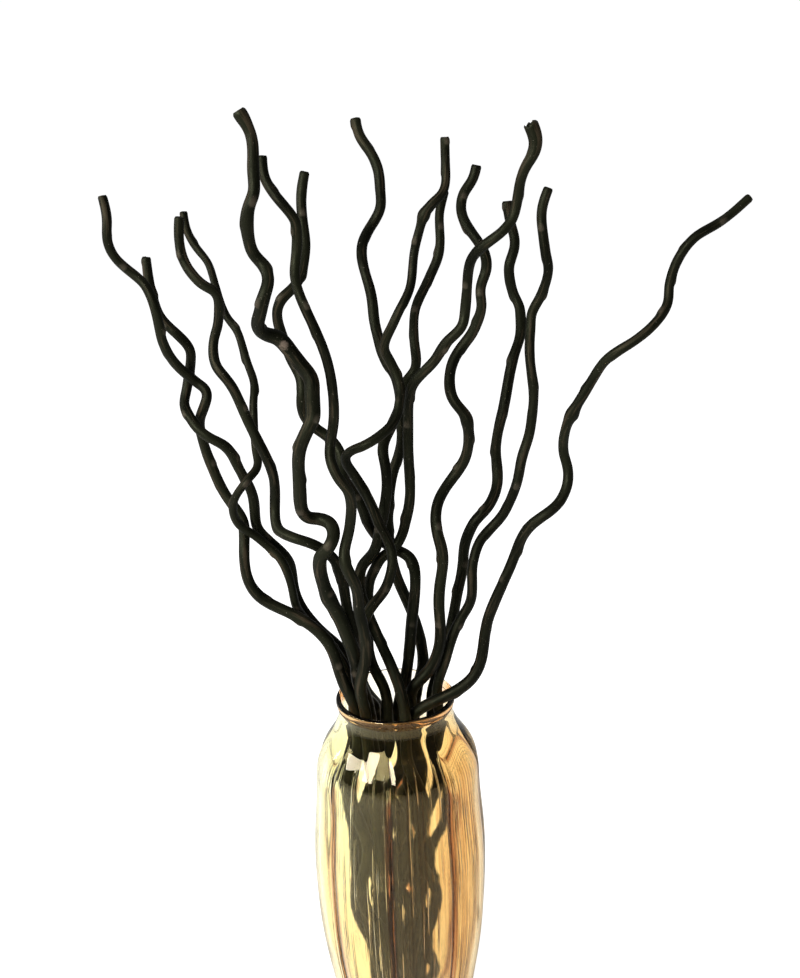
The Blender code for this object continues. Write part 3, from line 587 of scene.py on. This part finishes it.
def vase_tree():
    """Turns the outline and presses the lobes, with a fine groove along each crease."""
    graph = ShapeGraph("Lobed vase", [
        ("Turns", "Int"), ("Rings", "Int"), ("Gather", "Float"), ("Lobes", "Float"),
        ("Lobe Depth", "Float"), ("Lobe Turn", "Float"), ("Lobe Top", "Float"),
        ("Lobe Fade", "Float"), ("Crease", "Float"), ("Shoulder", "Float"),
        ("Shoulder Height", "Float"), ("Shoulder Reach", "Float"), ("Groove Top", "Float"),
        ("Groove Width", "Float"), ("Groove Depth", "Float"), ("Material", "Material")])
    sheet = graph.node("GeometryNodeMeshGrid", {}, {
        "Size X": 1.0, "Size Y": 1.0, "Vertices X": graph.given("Turns"),
        "Vertices Y": graph.given("Rings")})
    flat = graph.node("GeometryNodeInputPosition")
    share = flat.part("Y") + 0.5
    lobes = graph.given("Lobes")
    angle = (flat.part("X") + 0.5) * math.tau
    angle = angle - (angle * lobes).math("SINE") * graph.given("Gather") / lobes
    row = (share * (graph.given("Rings") - 1.0)).math("ROUND")
    sampled = graph.sampled(graph.node("GeometryNodeInputPosition"), row, "FLOAT_VECTOR")
    outer = graph.sampled(graph.named("outer"), row, "FLOAT")
    radius, height = sampled.part("X"), sampled.part("Z")
    fade = graph.given("Lobe Fade")
    top = ((graph.given("Lobe Top") - height) / fade).math("MINIMUM", 1.0).math("MAXIMUM", 0.0)
    foot = (height / fade).math("MINIMUM", 1.0).math("MAXIMUM", 0.0)
    strength = (top * (math.pi / 2)).math("SINE") * (
        FOOT_PRESS + (1.0 - FOOT_PRESS) * (foot * (math.pi / 2)).math("SINE"))
    swing = (angle * lobes * 0.5).math("SINE").math("ABSOLUTE")
    lobe = swing ** graph.given("Crease")
    off = (height - graph.given("Shoulder Height")) / graph.given("Shoulder Reach")
    shoulder = (0.0 - off * off).math("EXPONENT") * graph.given("Shoulder") * outer
    squeeze = 1.0 - graph.given("Lobe Depth") * strength * (1.0 - lobe)
    squeeze = squeeze + shoulder * (lobe - SHOULDER_LEVEL)
    aside = swing / graph.given("Groove Width")
    groove_end = graph.given("Groove Top")
    groove = (0.0 - aside * aside).math("EXPONENT") * outer * graph.fade(radius, 0.02, 0.045)
    groove = groove * graph.fade(height, groove_end, groove_end - 0.02)
    pressed = radius * squeeze - groove * graph.given("Groove Depth")
    turned = angle + graph.given("Lobe Turn")
    place = graph.vector(pressed * turned.math("COSINE"), pressed * turned.math("SINE"), height)
    sheet = graph.store(sheet, "turned", graph.vector(
        turned.math("COSINE"), turned.math("SINE"), height), "FLOAT_VECTOR")
    # A mask for the dark red-brown painted shade along each crease
    beside = aside / CREASE_SHADE_REACH
    sheet = graph.store(sheet, "crease", (0.0 - beside * beside).math("EXPONENT")
                        * graph.fade(height, groove_end - 0.012, groove_end - 0.035))
    sheet = graph.node("GeometryNodeSetPosition", {}, {"Geometry": sheet, "Position": place})
    sheet = graph.node("GeometryNodeMergeByDistance", {}, {"Geometry": sheet, "Distance": SEAM})
    return graph.close(sheet)


def glass_material(colours):
    """Amber lustre glass: pale yellow to orange, with fine upright streaks. The left is painted
    paler as window light through the glass, the creases carry painted shade, and the back of the
    neck is painted nearly clear as backlight.
    """
    material = bpy.data.materials.new("amber_glass")
    material.use_nodes = True
    graph = Graph(material.node_tree)
    shader = material.node_tree.nodes["Principled BSDF"]
    place = graph.node("ShaderNodeTexCoord").out("Object")
    turned = graph.node("ShaderNodeAttribute", {"attribute_name": "turned"}).out("Vector")
    crease = graph.node("ShaderNodeAttribute", {"attribute_name": "crease"}).out("Fac")
    height = place.part("Z")
    wide = graph.noise(turned.times(CLOUDS), 2.0, 0.5)
    streak = graph.noise(turned.times(GLASS_STREAKS), 3.0, 0.65)
    fine = graph.noise(turned.times(FINE_STREAKS), 2.0, 0.6)
    thread = graph.noise(turned.times(THREADS), 1.0, 0.5)
    # Paler on the left: painted window light through the glass, on top of the glass's change of
    # tint
    side = graph.fade(place.part("X") + (wide - 0.5) * CLOUD_SHIFT, *LIT_AND_AMBER_SIDE)
    low = graph.fade(height + (wide - 0.5) * CLOUD_SHIFT, *AMBER_BELOW)
    colour = graph.mix(side, rgba(colours.pale), rgba(colours.amber))
    colour = graph.mix(low * 0.6, colour, rgba(colours.amber))
    strength = graph.fade(streak * 0.4 + fine * 0.6, 0.49, 0.58) * (0.10 + 0.90 * side)
    strength = strength * graph.fade(height, *STREAKS_BELOW)
    colour = graph.mix(strength, colour, rgba(colours.deep))
    # Dark red-brown painted shade along the creases
    crease_shade_share = graph.fade(crease + (fine - 0.5) * 0.7, 0.3, 0.7, 0.0, 0.95)
    colour = graph.mix(crease_shade_share, colour, rgba(colours.crease_shade))
    # Behind the neck the glass is painted nearly clear and the lip colour fades out there: a
    # painted backlight that washes out the tint
    behind = graph.fade(place.part("Y"), *GLASS_BACK)
    clear = behind * graph.fade(height, *BACKLIT_ABOVE)
    colour = graph.mix(clear * 0.85, colour, rgba(colours.clear))
    lip = graph.fade(height, *LIP_ABOVE) * (1.0 - behind * 0.9)
    colour = graph.mix(lip, colour, rgba(colours.lip))
    raised = graph.fade(thread, 0.63, 0.72) + streak * 0.08
    bump = graph.node("ShaderNodeBump", {}, {
        "Strength": 1.0, "Distance": THREAD_RELIEF,
        "Height": raised * graph.fade(height, *THREADS_BELOW)})
    graph.tree.links.new(colour.socket, shader.inputs["Base Color"])
    graph.tree.links.new(bump.socket, shader.inputs["Normal"])
    shader.inputs["Roughness"].default_value = 0.0
    shader.inputs["Transmission Weight"].default_value = 1.0
    shader.inputs["IOR"].default_value = 1.46
    shader.inputs["Specular Tint"].default_value = rgba(colours.lustre)
    return material


class WillowVaseSettings(bpy.types.PropertyGroup):
    """Sizes and colours of the vase."""
    turns: IntProperty(name="Turns", description="Faces round the vase", default=289, min=33)
    gather: FloatProperty(name="Gather", description="How far faces crowd at the creases",
                          default=0.6, subtype="FACTOR")
    lobes: IntProperty(name="Lobes", description="Upright lobes", default=8, min=1)
    lobe_depth: FloatProperty(name="Lobe depth", description="How far a crease is pressed in",
                              default=0.05, subtype="FACTOR")
    lobe_turn: FloatProperty(name="Lobe turn", description="Turn of the creases",
                             default=math.radians(-7.0), subtype="ANGLE")
    lobe_top: FloatProperty(name="Lobe top", description="Height where the creases end",
                            default=0.234, unit="LENGTH")
    lobe_fade: FloatProperty(name="Lobe fade", description="Height over which they fade",
                             default=0.045, unit="LENGTH")
    crease: FloatProperty(name="Crease", description="Roundness of the lobes", default=0.7)
    shoulder: FloatProperty(name="Shoulder", description="How far lobes stand out at the shoulder",
                            default=0.058, subtype="FACTOR")
    shoulder_height: FloatProperty(name="Shoulder height", description="Where they stand out most",
                                   default=0.252, unit="LENGTH")
    shoulder_reach: FloatProperty(name="Shoulder reach", description="Height over which they fade",
                                  default=0.013, unit="LENGTH")
    groove_top: FloatProperty(name="Groove top", description="Height where the grooves end",
                              default=0.262, unit="LENGTH")
    groove_width: FloatProperty(name="Groove width", description="Width of a groove, as a share",
                                default=0.085, subtype="FACTOR")
    groove_depth: FloatProperty(name="Groove depth", description="Depth of the fine grooves",
                                default=0.0008, unit="LENGTH", precision=5)
    # Pale amber is the glass's tint together with painted window light on the left side
    pale: FloatVectorProperty(name="Pale amber", description="Lightest glass",
                              subtype="COLOR", default=(1.0, 0.965, 0.66))
    amber: FloatVectorProperty(name="Amber", description="Main glass", subtype="COLOR",
                               default=(0.93, 0.74, 0.42))
    deep: FloatVectorProperty(name="Deep amber", description="Streaks in the glass",
                              subtype="COLOR", default=(0.55, 0.30, 0.12))
    # Painted shade along the creases
    crease_shade: FloatVectorProperty(name="Creases", description="Glass along the creases",
                                       subtype="COLOR", default=(0.34, 0.11, 0.04))
    # Painted backlight: the tint of the glass behind the neck
    clear: FloatVectorProperty(name="Clear", description="Glass behind the neck",
                               subtype="COLOR", default=(1.0, 0.99, 0.93))
    lustre: FloatVectorProperty(name="Lustre", description="Tint of the glass's reflections",
                                subtype="COLOR", default=(0.86, 0.74, 0.50))
    lip: FloatVectorProperty(name="Lip", description="Rolled lip", subtype="COLOR",
                             default=(0.82, 0.38, 0.13))


class WILLOW_OT_vase(bpy.types.Operator):
    """Turns the amber glass vase with its lobes, grooves and rolled lip"""
    bl_idname = "willow.vase"
    bl_label = "Amber Vase"

    def execute(self, context):
        settings = context.scene.willow_vase
        places, outer = vase_profile()
        mesh = bpy.data.meshes.new("vase_outline")
        mesh.from_pydata(places, [(i, i + 1) for i in range(len(places) - 1)], [])
        mesh.attributes.new("outer", "FLOAT", "POINT").data.foreach_set("value", outer)
        piece = shaped("glass_vase", mesh, vase_tree(), {
            "Turns": settings.turns, "Rings": len(places), "Gather": settings.gather,
            "Lobes": float(settings.lobes), "Lobe Depth": settings.lobe_depth,
            "Lobe Turn": settings.lobe_turn, "Lobe Top": settings.lobe_top,
            "Lobe Fade": settings.lobe_fade, "Crease": settings.crease,
            "Shoulder": settings.shoulder, "Shoulder Height": settings.shoulder_height,
            "Shoulder Reach": settings.shoulder_reach, "Groove Top": settings.groove_top,
            "Groove Width": settings.groove_width, "Groove Depth": settings.groove_depth,
            "Material": glass_material(settings)})
        work = bmesh.new()
        work.from_mesh(piece.data)
        bmesh.ops.recalc_face_normals(work, faces=work.faces)
        work.to_mesh(piece.data)
        work.free()
        piece.data.shade_smooth()
        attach(piece, "root")
        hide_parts("vase")
        return {"FINISHED"}


class WillowStageSettings(bpy.types.PropertyGroup):
    """Floor, lights and background."""
    floor: FloatVectorProperty(name="Floor", description="Floor colour", subtype="COLOR",
                               default=(0.6, 0.6, 0.58))
    floor_light: FloatProperty(name="Floor light", description="Light that the floor gives off",
                               default=0.93)
    floor_mirrored: FloatProperty(name="Floor mirrored", default=0.15, subtype="FACTOR",
                                  description="Share of that light that a shiny surface mirrors")
    floor_size: FloatProperty(name="Floor size", description="Side of the floor",
                              default=12.0, unit="LENGTH")
    sky: FloatProperty(name="Background", description="Strength of the background",
                       default=1.02)
    room: FloatProperty(name="Room", description="Strength of the room in front", default=0.05)
    wall: FloatProperty(name="Wall", description="Light from the wall behind", default=0.15)
    ceiling: FloatProperty(name="Ceiling", description="Light from above", default=0.30)
    glass_room: FloatProperty(name="Room in the glass", default=0.20,
                              description="Strength of the room in front, seen through the glass")
    window_power: FloatProperty(name="Window power", description="Power of the main lamp",
                                default=46.0, unit="POWER")
    window_breadth: FloatProperty(name="Window breadth", description="Breadth of the main lamp",
                                  default=0.56, unit="LENGTH")
    side_power: FloatProperty(name="Side power", description="Power of the lamp at the side",
                              default=19.0, unit="POWER")
    side_breadth: FloatProperty(name="Side breadth", description="Breadth of the lamp at the side",
                                default=0.18, unit="LENGTH")


def lamp_place(bearing, rise):
    """A place round the vase, by its angles from the front and from the level."""
    bearing, rise = math.radians(bearing), math.radians(rise)
    return LAMP_TARGET + LAMP_DISTANCE * Vector((
        math.sin(bearing) * math.cos(rise), -math.cos(bearing) * math.cos(rise), math.sin(rise)))


def add_lamp(name, start, end, breadth, power):
    """A soft lamp from one place to another, facing the vase."""
    first, last = lamp_place(*start), lamp_place(*end)
    middle = (first + last) / 2
    light = bpy.data.lights.new(name, "AREA")
    light.shape = "RECTANGLE"
    light.size, light.size_y = (last - first).length, breadth
    light.energy = power
    lamp = bpy.data.objects.new(name, light)
    away = (middle - LAMP_TARGET).normalized()
    across = (last - first).normalized()
    turn = Matrix((across, away.cross(across), away)).transposed().to_4x4()
    lamp.matrix_world = Matrix.Translation(middle) @ turn
    bpy.context.scene.collection.objects.link(lamp)


class WILLOW_OT_stage(bpy.types.Operator):
    """Lays the pale floor and sets the lamps, the background and the camera"""
    bl_idname = "willow.stage"
    bl_label = "Stage"

    def execute(self, context):
        settings = context.scene.willow_stage
        half = settings.floor_size / 2
        mesh = bpy.data.meshes.new("floor")
        mesh.from_pydata([(-half, -half, 0), (half, -half, 0), (half, half, 0), (-half, half, 0)],
                         [], [(0, 1, 2, 3)])
        floor = bpy.data.objects.new("floor", mesh)
        material = bpy.data.materials.new("pale_floor")
        material.use_nodes = True
        shader = material.node_tree.nodes["Principled BSDF"]
        shader.inputs["Base Color"].default_value = rgba(settings.floor)
        shader.inputs["Roughness"].default_value = 0.9
        graph = Graph(material.node_tree)
        ray = graph.node("ShaderNodeLightPath")
        mirrored = ray.out("Is Glossy Ray") * (1.0 - ray.out("Is Transmission Ray"))
        level = 1.0 - mirrored * (1.0 - settings.floor_mirrored)
        graph.tree.links.new(level.socket, shader.inputs["Emission Color"])
        shader.inputs["Emission Strength"].default_value = settings.floor_light
        mesh.materials.append(material)
        context.scene.collection.objects.link(floor)

        world = bpy.data.worlds.new("Studio")
        world.use_nodes = True
        sky = Graph(world.node_tree)
        ray = sky.node("ShaderNodeLightPath")
        direction = sky.node("ShaderNodeTexCoord").out("Generated")
        behind = direction.part("Y")
        above = sky.fade(direction.part("Z"), *CEILING_FADE) * settings.ceiling
        lit = sky.fade(behind, *WALL_FADE) * (settings.wall - settings.room) + settings.room
        seen = sky.fade(behind, *GLASS_FADE) * (settings.sky - settings.glass_room)
        seen = seen + settings.glass_room
        around = ray.out("Is Transmission Ray") * (seen - lit) + lit + above
        strength = ray.out("Is Camera Ray") * (settings.sky - around) + around
        sky.tree.links.new(strength.socket, sky.tree.nodes["Background"].inputs["Strength"])
        sky.tree.nodes["Background"].inputs["Color"].default_value = rgba((1.0, 1.0, 1.0))
        context.scene.world = world
        add_lamp("window", WINDOW_START, WINDOW_END, settings.window_breadth,
                 settings.window_power)
        add_lamp("side_window", SIDE_START, SIDE_END, settings.side_breadth, settings.side_power)

        pitch = Vector((0.0, math.cos(EYE_PITCH), -math.sin(EYE_PITCH)))
        level = Vector((1.0, 0.0, 0.0))
        plumb = level.cross(pitch)
        right = math.cos(EYE_ROLL) * level - math.sin(EYE_ROLL) * plumb
        up = math.sin(EYE_ROLL) * level + math.cos(EYE_ROLL) * plumb
        camera = bpy.data.cameras.new("camera")
        camera.sensor_width = SENSOR
        camera.lens = SENSOR * FOCAL_LENGTH / PICTURE_HEIGHT
        camera.clip_start, camera.clip_end = 0.01, 100.0
        eye = bpy.data.objects.new("camera", camera)
        turn = Matrix((right, up, -pitch)).transposed().to_4x4()
        eye.matrix_world = Matrix.Translation(EYE) @ turn
        context.scene.collection.objects.link(eye)
        context.scene.camera = eye
        context.scene.view_settings.view_transform = "Standard"
        return {"FINISHED"}


class WILLOW_PT_panel(bpy.types.Panel):
    """Willow stems in the sidebar"""
    bl_idname = "WILLOW_PT_panel"
    bl_label = "Willow Stems"
    bl_space_type = "VIEW_3D"
    bl_region_type = "UI"
    bl_category = "Willow"

    def draw(self, context):
        for settings, operator in ((context.scene.willow_stems, WILLOW_OT_stems),
                                   (context.scene.willow_vase, WILLOW_OT_vase),
                                   (context.scene.willow_stage, WILLOW_OT_stage)):
            box = self.layout.box()
            for name in settings.bl_rna.properties.keys():
                if name not in ("rna_type", "name"):
                    box.prop(settings, name)
            box.operator(operator.bl_idname)


CLASSES = (WillowStemSettings, WillowVaseSettings, WillowStageSettings,
           WILLOW_OT_stems, WILLOW_OT_vase, WILLOW_OT_stage, WILLOW_PT_panel)


def register():
    for item in CLASSES:
        bpy.utils.register_class(item)
    bpy.types.Scene.willow_stems = PointerProperty(type=WillowStemSettings)
    bpy.types.Scene.willow_vase = PointerProperty(type=WillowVaseSettings)
    bpy.types.Scene.willow_stage = PointerProperty(type=WillowStageSettings)


def unregister():
    del bpy.types.Scene.willow_stage
    del bpy.types.Scene.willow_vase
    del bpy.types.Scene.willow_stems
    for item in reversed(CLASSES):
        bpy.utils.unregister_class(item)


def main():
    register()
    bpy.ops.willow.vase()
    bpy.ops.willow.stems()
    bpy.ops.willow.stage()


if __name__ == "__main__":
    main()
